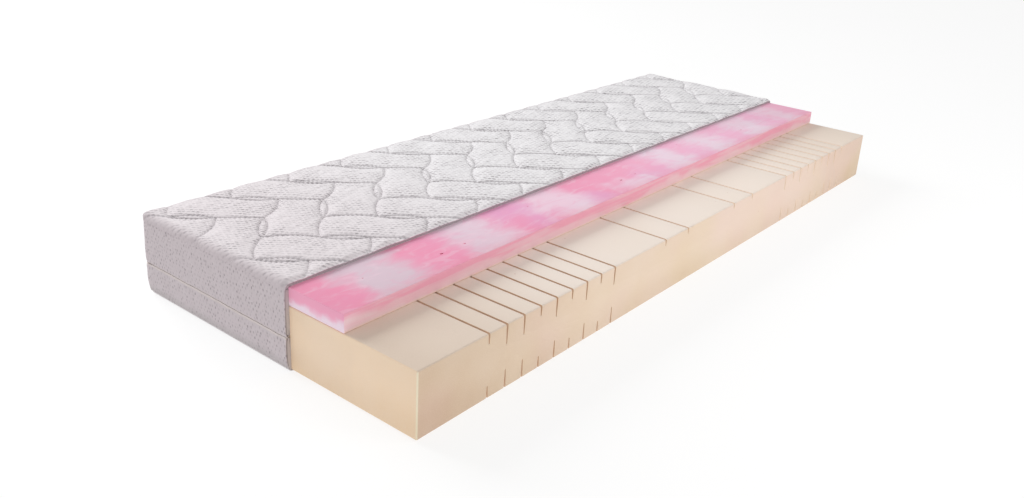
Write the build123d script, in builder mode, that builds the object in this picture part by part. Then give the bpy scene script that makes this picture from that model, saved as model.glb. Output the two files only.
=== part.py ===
from build123d import *
import os

# A cut-away foam mattress for a single bed: a slit core, a soft topper on the back
# three quarters of it, and a zipped cover that is cut along its length.
# X runs along the length, +Y to the covered long side, +Z up. Millimetres.

# ---- driving dimensions ----
core_length = 2000.0
core_width = 800.0
core_height = 134.0
film_thickness = 0.5
topper_width = 621.0
topper_thickness = 37.5
covered_width = 471.0  # of the foam, from its back face to the cover's cut edge

fit_gap = 0.3  # between the foam and the cover half that lifts off
knit_thickness = 2.0
side_thickness = 8.0
bottom_wadding_thickness = 2.0
backing_thickness = 1.0
top_wadding_thickness = 8.7
foam_corner_radius = 8.0
cover_corner_radius = 14.0
cover_edge_radius = 1.8
overrun = 1.0  # how far a cutting shape passes the face it cuts

zip_height = 75.0
slot_half_height = 2.5
cavity_half_height = 6.0
tape_reach = 14.0
tape_thickness = 0.7
tape_depth = 1.5  # from the foam's face to the tape's inner face
coil_thickness = 2.2
coil_inner_edge = 0.6
coil_outer_edge = 3.2
stop_length = 4.0
stop_corner_radius = 0.6

slider_x = 850.0
slider_length = 16.0
slider_half_height = 4.6
plate_thickness = 0.9
plate_clearance = 0.3
plate_corner_radius = 2.5
web_length = 4.0
web_from_end = 3.0
park_gap_start = 820.0
park_gap_end = 880.0
stop_x = 868.0

pull_length = 24.0
pull_thickness = 1.2
pull_half_height = 1.9
pull_overhang = 1.0
ear_half_height = 0.6
ear_radius = 1.4
ear_from_end = 3.0
foot_offset = 0.2
foot_depth = 1.0
pin_radius = 0.5
pin_clearance = 0.05
pin_protrusion = 1.4  # from the slider's front plate to the pull's pin
fork_half_gap = 0.9
fork_length = 4.0

label_width = 60.0
label_height = 40.0
label_thickness = 0.6
label_gap = 1.0
label_x = -700.0

# Slits across the foam, at these distances from its middle: two at the waist,
# then a row of nine under the shoulders and under the legs.
waist_slits = [115.0, 215.0]
row_start = 420.0
row_pitch = 50.0
row_count = 9
short_slits_in_row = [1, 3, 5, 8]
slit_mouth = 5.0
slit_end = 2.6
deep_slit = (42.0, 40.0)  # depth from the top, depth from the bottom
short_slit = (22.0, 26.0)
waist_slit = (16.0, 0.0)

# ---- places that follow ----
total_width = core_width + side_thickness + label_thickness
foam_front = -total_width / 2
foam_back = foam_front + core_width
topper_front = foam_back - topper_width
cut_y = foam_back - covered_width
bottom_thickness = knit_thickness + bottom_wadding_thickness
core_bottom = bottom_thickness
core_top = core_bottom + core_height
topper_bottom = core_top + film_thickness
foam_top = topper_bottom + topper_thickness
backing_bottom = foam_top + fit_gap
top_wadding_bottom = backing_bottom + backing_thickness
top_knit_bottom = top_wadding_bottom + top_wadding_thickness
cover_top = top_knit_bottom + knit_thickness
wadding_out = side_thickness - knit_thickness
coil_depth = tape_depth + tape_thickness
coil_front = coil_depth + coil_thickness
front_plate_depth = coil_front + plate_clearance
pin_depth = front_plate_depth + plate_thickness + pin_protrusion

os.makedirs("parts", exist_ok=True)


def finish(piece, name):
    """Label a finished piece and write its file."""
    piece.label = name
    export_step(piece, f"parts/{name}.step")


def cover_plan(out, grow_front=0.0):
    """The covered foam's outline, let out by this much at both ends and at the back."""
    width = core_length + 2 * out
    depth = covered_width + out + grow_front
    with Locations((0, cut_y - grow_front + depth / 2)):
        Rectangle(width, depth)


def round_back_corners(radius):
    """Round the two corners of the outline that lie at the back."""
    if radius > 0:
        corners = vertices().group_by(Axis.Y)[-1]
        fillet(corners, radius)


def wall_plan(inside, outside):
    """A strip round both ends and the back, between two distances from the foam."""
    cover_plan(outside)
    round_back_corners(cover_corner_radius - side_thickness + outside)
    with BuildSketch(mode=Mode.PRIVATE) as hollow:
        cover_plan(inside, grow_front=overrun)
        round_back_corners(max(cover_corner_radius - side_thickness + inside, 0.0))
    add(hollow.sketch, mode=Mode.SUBTRACT)


def slit_outline(depth, face_z, inwards):
    """A slit's tapered outline in the XZ plane, from a face into the foam."""
    end_z = face_z + inwards * depth
    start_z = face_z - inwards * overrun
    Polygon(
        (-slit_mouth / 2, start_z),
        (slit_mouth / 2, start_z),
        (slit_end / 2, end_z),
        (-slit_end / 2, end_z),
        align=None,
    )


def slit_places():
    """Each slit's distance along X, with its depth from the top and from the bottom."""
    places = []
    for side in (-1, 1):
        for x in waist_slits:
            places.append((side * x, waist_slit))
        for i in range(row_count):
            depths = short_slit if i in short_slits_in_row else deep_slit
            places.append((side * (row_start + i * row_pitch), depths))
    return places


# ---- foam ----
with BuildPart() as core_foam:
    with BuildSketch(Plane.XY.offset(core_bottom)):
        with Locations((0, foam_front + core_width / 2)):
            Rectangle(core_length, core_width)
    extrude(amount=core_height)
    fillet(core_foam.edges().filter_by(Axis.Z), foam_corner_radius)
    for slit_x, (from_top, from_bottom) in slit_places():
        with BuildSketch(Plane((slit_x, foam_back + overrun, 0), x_dir=(1, 0, 0), z_dir=(0, -1, 0))):
            slit_outline(from_top, core_top, -1)
            if from_bottom > 0:
                slit_outline(from_bottom, core_bottom, 1)
        extrude(amount=core_width + 2 * overrun, mode=Mode.SUBTRACT)

with BuildPart() as adhesive_film:
    with BuildSketch(Plane.XY.offset(core_top)):
        with Locations((0, foam_back - topper_width / 2)):
            Rectangle(core_length - 2 * foam_corner_radius, topper_width - foam_corner_radius)
    extrude(amount=film_thickness)

with BuildPart() as topper_foam:
    with BuildSketch(Plane.XY.offset(topper_bottom)):
        with Locations((0, foam_back - topper_width / 2)):
            Rectangle(core_length, topper_width)
    extrude(amount=topper_thickness)
    fillet(topper_foam.edges().filter_by(Axis.Z), foam_corner_radius)

# ---- lower half of the cover ----
with BuildPart() as bottom_knit:
    with BuildSketch():
        cover_plan(side_thickness)
        round_back_corners(cover_corner_radius)
    extrude(amount=knit_thickness)
    rim = bottom_knit.faces().sort_by(Axis.Z)[0].edges()
    fillet(rim.filter_by(lambda edge: edge.center().Y > cut_y + 1), cover_edge_radius)

with BuildPart() as bottom_wadding:
    with BuildSketch(Plane.XY.offset(knit_thickness)):
        cover_plan(wadding_out)
        round_back_corners(cover_corner_radius - knit_thickness)
    extrude(amount=bottom_wadding_thickness)

with BuildPart() as border_lower_knit:
    with BuildSketch(Plane.XY.offset(knit_thickness)):
        wall_plan(wadding_out, side_thickness)
    extrude(amount=zip_height - slot_half_height - knit_thickness)

with BuildPart() as border_lower_wadding:
    with BuildSketch(Plane.XY.offset(core_bottom)):
        wall_plan(fit_gap, wadding_out)
    extrude(amount=zip_height - cavity_half_height - core_bottom)
    with BuildSketch(Plane.XY.offset(zip_height - tape_reach)):
        wall_plan(0, coil_depth)
    extrude(amount=tape_reach, mode=Mode.SUBTRACT)

# ---- upper half of the cover ----
with BuildPart() as top_backing:
    with BuildSketch(Plane.XY.offset(backing_bottom)):
        cover_plan(wadding_out)
        round_back_corners(cover_corner_radius - knit_thickness)
    extrude(amount=backing_thickness)

with BuildPart() as top_wadding:
    with BuildSketch(Plane.XY.offset(top_wadding_bottom)):
        cover_plan(wadding_out)
        round_back_corners(cover_corner_radius - knit_thickness)
    extrude(amount=top_wadding_thickness)

with BuildPart() as top_knit:
    with BuildSketch(Plane.XY.offset(top_knit_bottom)):
        cover_plan(side_thickness)
        round_back_corners(cover_corner_radius)
    extrude(amount=knit_thickness)
    rim = top_knit.faces().sort_by(Axis.Z)[-1].edges()
    fillet(rim.filter_by(lambda edge: edge.center().Y > cut_y + 1), cover_edge_radius)

with BuildPart() as border_upper_knit:
    with BuildSketch(Plane.XY.offset(zip_height + slot_half_height)):
        wall_plan(wadding_out, side_thickness)
    extrude(amount=top_knit_bottom - zip_height - slot_half_height)

with BuildPart() as border_upper_wadding:
    with BuildSketch(Plane.XY.offset(zip_height + cavity_half_height)):
        wall_plan(fit_gap, wadding_out)
    extrude(amount=backing_bottom - zip_height - cavity_half_height)
    with BuildSketch(Plane.XY.offset(zip_height)):
        wall_plan(0, coil_depth)
    extrude(amount=tape_reach, mode=Mode.SUBTRACT)


# ---- zip ----
with BuildPart() as zip_tape_lower:
    with BuildSketch(Plane.XY.offset(zip_height - tape_reach)):
        wall_plan(tape_depth, coil_depth)
    extrude(amount=tape_reach - coil_inner_edge)

with BuildPart() as zip_tape_upper:
    with BuildSketch(Plane.XY.offset(zip_height + coil_inner_edge)):
        wall_plan(tape_depth, coil_depth)
    extrude(amount=tape_reach - coil_inner_edge)


def coil_plan():
    """The coil on the tape's front, left out where the closed slider parks."""
    wall_plan(coil_depth, coil_front)
    with Locations(((park_gap_start + park_gap_end) / 2, foam_back + coil_depth)):
        Rectangle(park_gap_end - park_gap_start, side_thickness, mode=Mode.SUBTRACT)


def stop_plan():
    """A crimped stop on the tape's front, past the parked slider."""
    with Locations((stop_x, foam_back + (coil_depth + coil_front) / 2)):
        RectangleRounded(stop_length, coil_thickness, stop_corner_radius)


coil_width = coil_outer_edge - coil_inner_edge
coil_lower_plane = Plane.XY.offset(zip_height - coil_outer_edge)
coil_upper_plane = Plane.XY.offset(zip_height + coil_inner_edge)

with BuildPart() as zip_coil_lower:
    with BuildSketch(coil_lower_plane):
        coil_plan()
    extrude(amount=coil_width)

with BuildPart() as zip_coil_upper:
    with BuildSketch(coil_upper_plane):
        coil_plan()
    extrude(amount=coil_width)

with BuildPart() as zip_stop_lower:
    with BuildSketch(coil_lower_plane):
        stop_plan()
    extrude(amount=coil_width)

with BuildPart() as zip_stop_upper:
    with BuildSketch(coil_upper_plane):
        stop_plan()
    extrude(amount=coil_width)

back_plate_y = foam_back + tape_depth - plate_clearance - plate_thickness
front_plate_y = foam_back + front_plate_depth
pin_y = foam_back + pin_depth
pin_x = slider_x + slider_length / 2 - ear_from_end

with BuildPart() as zip_slider:
    for plate_y in (back_plate_y, front_plate_y):
        outer_y = plate_y + plate_thickness
        with BuildSketch(Plane((slider_x, outer_y, zip_height), x_dir=(1, 0, 0), z_dir=(0, -1, 0))):
            RectangleRounded(slider_length, 2 * slider_half_height, plate_corner_radius)
        extrude(amount=plate_thickness)
    with BuildSketch(Plane.XY.offset(zip_height - coil_inner_edge / 2)):
        with Locations((slider_x + slider_length / 2 - web_from_end, (back_plate_y + front_plate_y) / 2)):
            Rectangle(web_length, front_plate_y - back_plate_y)
    extrude(amount=coil_inner_edge)
    with BuildSketch(Plane.XY.offset(zip_height - ear_half_height)):
        with Locations((pin_x, pin_y)):
            Circle(ear_radius)
            Circle(pin_radius + pin_clearance, mode=Mode.SUBTRACT)
        with Locations((pin_x, front_plate_y + plate_thickness + foot_offset)):
            Rectangle(2 * ear_radius, foot_depth)
            with Locations((0, pin_protrusion - foot_offset)):
                Circle(pin_radius + pin_clearance, mode=Mode.SUBTRACT)
    extrude(amount=2 * ear_half_height)

with BuildPart() as zip_pull:
    with BuildSketch(Plane.XY.offset(zip_height - pull_half_height)):
        with Locations((pin_x + pull_length / 2 - pull_overhang, pin_y)):
            SlotOverall(pull_length, pull_thickness)
    extrude(amount=2 * pull_half_height)
    with BuildSketch(Plane.XY.offset(zip_height - fork_half_gap)):
        with Locations((pin_x, pin_y)):
            Rectangle(fork_length, 2 * pull_thickness)
    extrude(amount=2 * fork_half_gap, mode=Mode.SUBTRACT)
    with BuildSketch(Plane.XY.offset(zip_height - pull_half_height)):
        with Locations((pin_x, pin_y)):
            Circle(pin_radius)
    extrude(amount=2 * pull_half_height)

# ---- blank care label, sewn into the seam under the zip ----
with BuildPart() as care_label:
    label_top = zip_height - slot_half_height - label_gap
    label_middle = (label_x, foam_back + side_thickness + label_thickness, label_top - label_height / 2)
    with BuildSketch(Plane(label_middle, x_dir=(1, 0, 0), z_dir=(0, -1, 0))):
        Rectangle(label_width, label_height)
    extrude(amount=label_thickness)

finish(core_foam.part, "core_foam")
finish(adhesive_film.part, "adhesive_film")
finish(topper_foam.part, "topper_foam")
finish(bottom_knit.part, "bottom_knit")
finish(bottom_wadding.part, "bottom_wadding")
finish(border_lower_knit.part, "border_lower_knit")
finish(border_lower_wadding.part, "border_lower_wadding")
finish(top_backing.part, "top_backing")
finish(top_wadding.part, "top_wadding")
finish(top_knit.part, "top_knit")
finish(border_upper_knit.part, "border_upper_knit")
finish(border_upper_wadding.part, "border_upper_wadding")
finish(zip_tape_lower.part, "zip_tape_lower")
finish(zip_tape_upper.part, "zip_tape_upper")
finish(zip_coil_lower.part, "zip_coil_lower")
finish(zip_coil_upper.part, "zip_coil_upper")
finish(zip_stop_lower.part, "zip_stop_lower")
finish(zip_stop_upper.part, "zip_stop_upper")
finish(zip_slider.part, "zip_slider")
finish(zip_pull.part, "zip_pull")
finish(care_label.part, "care_label")
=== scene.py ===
# %% [markdown]
# # A cut-away foam mattress
# This lesson builds the looks of a display mattress: a beige foam core with slits, a
# marbled pink topper and a quilted cover, all cut back so that the layers show.
# The sizes come from a finished design, which is loaded first and never changed.
# Every new piece is then made around it, in the same place, and given a material.

# %% Load the design
import math

import bpy
import numpy as np
from mathutils import Matrix, Vector
from mathutils.kdtree import KDTree


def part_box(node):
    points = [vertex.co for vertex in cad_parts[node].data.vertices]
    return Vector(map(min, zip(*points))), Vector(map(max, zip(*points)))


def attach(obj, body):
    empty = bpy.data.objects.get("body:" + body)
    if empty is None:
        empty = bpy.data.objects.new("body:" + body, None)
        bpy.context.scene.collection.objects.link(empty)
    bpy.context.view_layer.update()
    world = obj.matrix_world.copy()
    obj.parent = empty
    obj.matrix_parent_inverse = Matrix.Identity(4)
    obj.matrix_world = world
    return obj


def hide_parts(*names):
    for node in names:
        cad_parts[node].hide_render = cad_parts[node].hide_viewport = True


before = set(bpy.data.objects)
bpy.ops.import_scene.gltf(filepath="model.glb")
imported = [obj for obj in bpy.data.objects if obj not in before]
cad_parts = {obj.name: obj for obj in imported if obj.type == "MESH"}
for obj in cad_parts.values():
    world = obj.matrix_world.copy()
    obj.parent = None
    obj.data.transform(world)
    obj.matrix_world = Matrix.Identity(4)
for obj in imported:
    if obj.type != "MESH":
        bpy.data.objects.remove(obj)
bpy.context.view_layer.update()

MM = 0.001

# %% [markdown]
# ## Where things are
# A maker measures before cutting. The corners of the foam and of the cover are read from
# the design, and everything else is worked out from them.

# %% Read the main places
core_lo, core_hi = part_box("core_foam")
topper_lo, topper_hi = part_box("topper_foam")
cover_lo, cover_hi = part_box("top_knit")
backing_lo, backing_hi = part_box("top_backing")
bottom_lo, bottom_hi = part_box("bottom_knit")
cut_y = cover_lo.y
side = core_lo.x - cover_lo.x
zip_z = (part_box("zip_coil_lower")[0].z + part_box("zip_coil_upper")[1].z) / 2
coil_thick = 0.0022
coil_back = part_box("zip_coil_upper")[1].y - core_hi.y - coil_thick
print("cover side thickness, mm:", round(side / MM, 1), " zip height, mm:", round(zip_z / MM, 1))

# %% [markdown]
# ## Camera, light and floor
# The mattress is seen from above one end, a little turned, as in a shop picture. The lights
# are large and soft, so that foam and knit show their relief without hard shadows. The
# standard view transform keeps pale colours clean.

# %% Place the camera
eye = Vector((-1.959, -1.341, 0.947))
gaze = Vector((0.7333, 0.5814, -0.3524)).normalized()
tilt = math.radians(3.05)
camera = bpy.data.objects.new("camera", bpy.data.cameras.new("camera"))
bpy.context.scene.collection.objects.link(camera)
camera.data.lens = 33.2
camera.data.shift_y = -0.048
level = gaze.cross(Vector((0, 0, 1))).normalized()
upright = level.cross(gaze)
right = level * math.cos(tilt) + upright * math.sin(tilt)
turned = Matrix((right, right.cross(gaze), -gaze)).transposed()
camera.matrix_world = Matrix.Translation(eye) @ turned.to_4x4()
bpy.context.scene.camera = camera
print("camera at", [round(v, 2) for v in eye])


# %% Add the lights
def soft_light(name, place, target, width, power, colour=(1, 1, 1)):
    """A square area light that looks at a point, and that no camera sees."""
    light = bpy.data.objects.new(name, bpy.data.lights.new(name, "AREA"))
    bpy.context.scene.collection.objects.link(light)
    light.data.size = width
    light.data.energy = power
    light.data.color = colour
    light.location = place
    light.rotation_euler = (Vector(target) - Vector(place)).to_track_quat("-Z", "Y").to_euler()
    light.visible_camera = False
    return light


soft_light("key_light", (-0.9, 4.9, 3.2), (0, 0, 0.1), 3.2, 236)
soft_light("front_light", (0.35, -2.2, 1.35), (0.3, -0.4, 0.12), 1.2, 13, (1, 0.985, 0.96))
soft_light("end_light", (-3.6, -0.9, 0.9), (-1.0, 0, 0.1), 1.5, 5, (1, 0.99, 0.97))
world = bpy.data.worlds.new("studio")
world.use_nodes = True
background = world.node_tree.nodes["Background"].inputs
background["Color"].default_value = (1, 1, 1, 1)
background["Strength"].default_value = 0.48
bpy.context.scene.world = world
bpy.context.scene.view_settings.view_transform = "Standard"

# %% [markdown]
# ## Tools for shapes
# A new primitive is added at its size and then shaped in edit mode. Fabric starts as a
# grid whose two directions are the cloth's own directions; a function then says where each
# point of the cloth lies. The cloth's measures, in metres, go into its UV map, so that a
# weave or a row of dimples follows the cloth wherever it bends.


# %% Helpers for meshes
def clear_selection():
    """Leave nothing selected, so that an operator acts only on what comes next."""
    if bpy.context.mode != "OBJECT":
        bpy.ops.object.mode_set(mode="OBJECT")
    bpy.ops.object.select_all(action="DESELECT")


def pick(piece):
    """Select one object and make it active."""
    clear_selection()
    piece.select_set(True)
    bpy.context.view_layer.objects.active = piece
    return piece


def join(pieces):
    """Join these objects into the first and return it."""
    clear_selection()
    for piece in pieces:
        piece.select_set(True)
    bpy.context.view_layer.objects.active = pieces[0]
    bpy.ops.object.join()
    return pieces[0]


def points_of(piece):
    """The piece's vertices as an array."""
    flat = np.empty(len(piece.data.vertices) * 3)
    piece.data.vertices.foreach_get("co", flat)
    return flat.reshape(-1, 3)


def move_points(piece, points):
    """Put the piece's vertices at these places."""
    piece.data.vertices.foreach_set("co", np.ascontiguousarray(points, dtype=float).ravel())
    piece.data.update()


def apply_modifier(piece, kind, **settings):
    """Add a modifier with these settings and apply it."""
    pick(piece)
    modifier = piece.modifiers.new(kind.lower(), kind)
    for name, value in settings.items():
        setattr(modifier, name, value)
    bpy.ops.object.modifier_apply(modifier=modifier.name)
    return piece


def carve(piece, tools):
    """Cut the tools' shapes out of the piece, and throw the tools away."""
    tool = join(tools)
    apply_modifier(piece, "BOOLEAN", operation="DIFFERENCE", solver="EXACT", object=tool)
    bpy.data.objects.remove(tool)
    return piece


def smooth(piece, angle=40):
    """Shade the piece smooth, apart from its sharp edges."""
    pick(piece)
    bpy.ops.object.shade_smooth_by_angle(angle=math.radians(angle))
    return piece


def cloth_grid(name, along, across, place):
    """A grid of cloth: place(u, v) gives the points for arrays of cloth distances."""
    columns, rows = len(along), len(across)
    clear_selection()
    bpy.ops.mesh.primitive_grid_add(x_subdivisions=columns - 1, y_subdivisions=rows - 1, size=2)
    piece = bpy.context.object
    piece.name = piece.data.name = name
    flat = points_of(piece)
    u = along[np.rint((flat[:, 0] + 1) / 2 * (columns - 1)).astype(int)]
    v = across[np.rint((flat[:, 1] + 1) / 2 * (rows - 1)).astype(int)]
    move_points(piece, place(u, v))
    corners = np.empty(len(piece.data.loops), dtype=int)
    piece.data.loops.foreach_get("vertex_index", corners)
    cloth_map = np.stack([u[corners], v[corners]], 1)
    piece.data.uv_layers[0].data.foreach_set("uv", cloth_map.ravel())
    return piece


# %% Helpers for soft shapes
def waviness(a, b, size, seed):
    """A smooth random field, mostly from -1 to 1, with swells of about this size."""
    dice = np.random.default_rng(seed)
    field = np.zeros_like(a)
    waves = 14
    for _ in range(waves):
        heading, phase = dice.uniform(0, 2 * math.pi, 2)
        pace = math.pi / (size * dice.uniform(0.7, 1.6))
        field += np.sin((a * math.cos(heading) + b * math.sin(heading)) * pace + phase)
    return field / math.sqrt(waves)


def ramp_up(value, low, high):
    """A smooth step on arrays, 0 below low and 1 above high."""
    share = np.clip((value - low) / (high - low), 0, 1)
    return share * share * (3 - 2 * share)


def steps(low, high, spacing):
    """Evenly spaced distances, near this spacing, from low to high."""
    return np.linspace(low, high, max(2, round((high - low) / spacing) + 1))


def running_length(points):
    """The distance along a polyline at each of its points, from 0."""
    return np.concatenate([[0.0], np.cumsum(np.hypot(*np.diff(points, axis=0).T))])


def face_out(piece):
    """Turn all faces outwards."""
    pick(piece)
    bpy.ops.object.mode_set(mode="EDIT")
    bpy.ops.mesh.select_all(action="SELECT")
    bpy.ops.mesh.normals_make_consistent(inside=False)
    bpy.ops.object.mode_set(mode="OBJECT")
    return piece


def close_border(piece, operator):
    """Close the piece's open borders with this edit-mode operator, and face it outwards."""
    pick(piece)
    bpy.ops.object.mode_set(mode="EDIT")
    bpy.ops.mesh.select_all(action="SELECT")
    bpy.ops.mesh.remove_doubles(threshold=1e-5)
    bpy.ops.mesh.select_all(action="DESELECT")
    bpy.ops.mesh.select_mode(type="EDGE")
    bpy.ops.mesh.select_non_manifold(extend=False, use_boundary=True)
    operator()
    bpy.ops.object.mode_set(mode="OBJECT")
    return face_out(piece)


# %% Hand the piece over
def dress(piece, material, body, slot, *nodes):
    """Give the finished piece its material and body, and the nodes it stands for; slot is not used."""
    piece.data.materials.clear()
    piece.data.materials.append(material)
    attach(piece, body)
    if nodes:
        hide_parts(*nodes)
    faces = len(piece.data.polygons)
    print(f"{piece.name}: {faces} faces, rides {body}, stands for {nodes}")
    return piece


# %% [markdown]
# ## Tools for materials
# Each material is a small graph of nodes. These helpers add a node with its settings and
# inputs in one line. Effects that several materials share are node groups.


# %% Add nodes and join them
def feed(tree, value, socket):
    """Join another node's socket to this one, or set a plain value."""
    if isinstance(value, bpy.types.NodeSocket):
        tree.links.new(value, socket)
    else:
        socket.default_value = value


def add(tree, kind, settings=None, **inputs):
    """Add a shader node; an input is a number, a colour or another node's socket."""
    made = tree.nodes.new("ShaderNode" + kind)
    for name, value in (settings or {}).items():
        setattr(made, name, value)
    for key, value in inputs.items():
        feed(tree, value, made.inputs[int(key[1:]) if key[1:].isdigit() else key.replace("_", " ")])
    return made


def maths(tree, operation, *values):
    """One step of arithmetic, and its result."""
    made = add(tree, "Math", {"operation": operation})
    for value, socket in zip(values, made.inputs):
        feed(tree, value, socket)
    return made.outputs[0]


def times(tree, first, second):
    """The product of two values."""
    return maths(tree, "MULTIPLY", first, second)


def plus(tree, first, second):
    """The sum of two values."""
    return maths(tree, "ADD", first, second)


def minus(tree, first, second):
    """The difference of two values."""
    return maths(tree, "SUBTRACT", first, second)


# %% Steps, mixes and noise
def ease(tree, value, low, high, start=0.0, end=1.0):
    """A smooth step: start below low, end above high."""
    return add(tree, "MapRange", {"interpolation_type": "SMOOTHSTEP"},
               i0=value, i1=low, i2=high, i3=start, i4=end).outputs[0]


def blend(tree, share, first, second, mode="MIX"):
    """Mix two colours by a share."""
    settings = {"data_type": "RGBA", "blend_type": mode}
    return add(tree, "Mix", settings, i0=share, i6=first, i7=second).outputs[2]


def shade(tree, colour, tint):
    """A colour with a tint laid over it, as a filter of coloured glass does."""
    return blend(tree, 1.0, colour, tint, "MULTIPLY")


def noise(tree, where, scale, detail, **more):
    """Cloudy noise, mostly from 0.3 to 0.7."""
    return add(tree, "TexNoise", None, Vector=where, Scale=scale, Detail=detail, **more).outputs[0]


def stretched_noise(tree, where, scales, detail, **more):
    """Noise with its own scale in each direction."""
    return noise(tree, add(tree, "Mapping", None, i0=where, i3=scales).outputs[0], 1.0, detail, **more)


def split(tree, vector):
    """The three parts of a vector."""
    return add(tree, "SeparateXYZ", i0=vector).outputs


def object_place(tree):
    """Where a point lies on the object, in metres."""
    return add(tree, "TexCoord").outputs["Object"]


def cloth_place(tree):
    """Where a point lies on the cloth, in the cloth's own metres."""
    return add(tree, "UVMap").outputs[0]


def facing_of(tree):
    """Which way the surface faces, as three parts."""
    return split(tree, add(tree, "NewGeometry").outputs["Normal"])


def spots(tree, where, scale, share, near, far, strength=1.0):
    """Round spots in those cells of a pattern whose random value is above a share."""
    cell = add(tree, "TexVoronoi", {"feature": "F1"}, Vector=where, Scale=scale).outputs
    chosen = maths(tree, "GREATER_THAN", add(tree, "SeparateColor", i0=cell["Color"]).outputs[0], share)
    return times(tree, ease(tree, cell["Distance"], near, far, strength, 0.0), chosen)


# %% Materials and groups
def rgb(red, green, blue):
    """A screen colour, 0 to 255, as the linear colour that nodes use."""
    share = [v / 255 for v in (red, green, blue)]
    return tuple(v / 12.92 if v <= 0.04045 else ((v + 0.055) / 1.055) ** 2.4 for v in share) + (1,)


def new_material(name, roughness):
    """A material with one Principled shader, its tree and that shader."""
    made = bpy.data.materials.new(name)
    made.use_nodes = True
    tree = made.node_tree
    shader = tree.nodes["Principled BSDF"]
    shader.inputs["Roughness"].default_value = roughness
    return made, tree, shader


def new_group(name, inputs, outputs):
    """An empty node group with named number or vector inputs and number outputs."""
    tree = bpy.data.node_groups.new(name, "ShaderNodeTree")
    for label, kind, value in inputs:
        socket = tree.interface.new_socket(label, in_out="INPUT", socket_type=kind)
        if value is not None:
            socket.default_value = value
    for label in outputs:
        tree.interface.new_socket(label, in_out="OUTPUT", socket_type="NodeSocketFloat")
    return tree, tree.nodes.new("NodeGroupInput").outputs, tree.nodes.new("NodeGroupOutput").inputs


def use_group(tree, group, **inputs):
    """Place a node group in a material."""
    made = tree.nodes.new("ShaderNodeGroup")
    made.node_tree = group
    for key, value in inputs.items():
        feed(tree, value, made.inputs[key.replace("_", " ")])
    return made.outputs


def paint(tree, shader, colour, sheen=0.0):
    """Feed a colour to the shader; fine fibres on cloth also give it a sheen."""
    tree.links.new(colour, shader.inputs["Base Color"])
    shader.inputs["Sheen Weight"].default_value = sheen


def bump(tree, shader, height, depth, strength=1.0):
    """Feed a height in 0 to 1 into the shader's normal, this many metres deep."""
    made = add(tree, "Bump", None, Strength=strength, Distance=depth, Height=height)
    tree.links.new(made.outputs[0], shader.inputs["Normal"])


# %% [markdown]
# ### Staggered dimples
# Mattress knits have small pits in staggered rows. The group divides the cloth into cells,
# shifts every second row by half a cell, and draws one soft oval in each. A random value per
# cell makes some pits larger and moves them a little, as in real knit.

# %% Node group: staggered dimples
dimples, given, result = new_group(
    "staggered_dimples",
    [("Vector", "NodeSocketVector", None), ("Cell U", "NodeSocketFloat", 0.006),
     ("Cell V", "NodeSocketFloat", 0.006), ("Pit U", "NodeSocketFloat", 0.0015),
     ("Pit V", "NodeSocketFloat", 0.002), ("Jitter", "NodeSocketFloat", 0.3)],
    ["Pit"])
parts = split(dimples, given["Vector"])
row_place = maths(dimples, "DIVIDE", parts[1], given["Cell V"])
row = maths(dimples, "FLOOR", row_place)
half_step = times(dimples, maths(dimples, "FLOORED_MODULO", row, 2.0), 0.5)
column_place = plus(dimples, maths(dimples, "DIVIDE", parts[0], given["Cell U"]), half_step)
column = maths(dimples, "FLOOR", column_place)
cell = add(dimples, "CombineXYZ", i0=column, i1=row).outputs[0]
dice = add(dimples, "TexWhiteNoise", {"noise_dimensions": "2D"}, i0=cell).outputs
throw = add(dimples, "SeparateColor", i0=dice["Color"]).outputs


def off_centre(in_cell, chance, cell_size, pit_size):
    """How far a point is from its pit's middle in one direction, in pit radii."""
    shift = times(dimples, minus(dimples, chance, 0.5), given["Jitter"])
    off = plus(dimples, minus(dimples, maths(dimples, "FRACT", in_cell), 0.5), shift)
    return maths(dimples, "DIVIDE", times(dimples, off, cell_size), pit_size)


reach_u = off_centre(column_place, throw[0], given["Cell U"], given["Pit U"])
reach_v = off_centre(row_place, throw[1], given["Cell V"], given["Pit V"])
squares = plus(dimples, times(dimples, reach_u, reach_u), times(dimples, reach_v, reach_v))
distance = maths(dimples, "SQRT", squares)
pit = ease(dimples, distance, 0.25, 1.1, 1.0, 0.0)
size = ease(dimples, throw[2], 0.0, 1.0, 0.45, 1.0)
dimples.links.new(times(dimples, pit, size), result["Pit"])
print("group:", dimples.name, len(dimples.nodes), "nodes")

# %% [markdown]
# ### Open foam
# Cut foam is matt and full of tiny open cells. The group mixes a fine cell pattern with a
# softer cloudiness, and gives a height for bump and a shade for colour.

# %% Node group: open foam
foam_cells, given, result = new_group(
    "foam_cells",
    [("Vector", "NodeSocketVector", None), ("Cell Size", "NodeSocketFloat", 0.0014)],
    ["Height", "Shade"])
density = maths(foam_cells, "DIVIDE", 1.0, given["Cell Size"])
cells = add(foam_cells, "TexVoronoi", {"feature": "F1"},
            Vector=given["Vector"], Scale=density).outputs["Distance"]
fine = add(foam_cells, "TexNoise", None,
           Vector=given["Vector"], Scale=times(foam_cells, density, 0.35), Detail=4.0).outputs[0]
cloud = noise(foam_cells, given["Vector"], 5.0, 3.0)
foam_cells.links.new(plus(foam_cells, times(foam_cells, cells, 0.6), fine), result["Height"])
foam_cells.links.new(plus(foam_cells, times(foam_cells, cells, 0.25), cloud), result["Shade"])
print("group:", foam_cells.name, len(foam_cells.nodes), "nodes")

# %% [markdown]
# ### Fibres
# Threads and wadding are fuzzy up close: a stretched fine noise for the surface.

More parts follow.
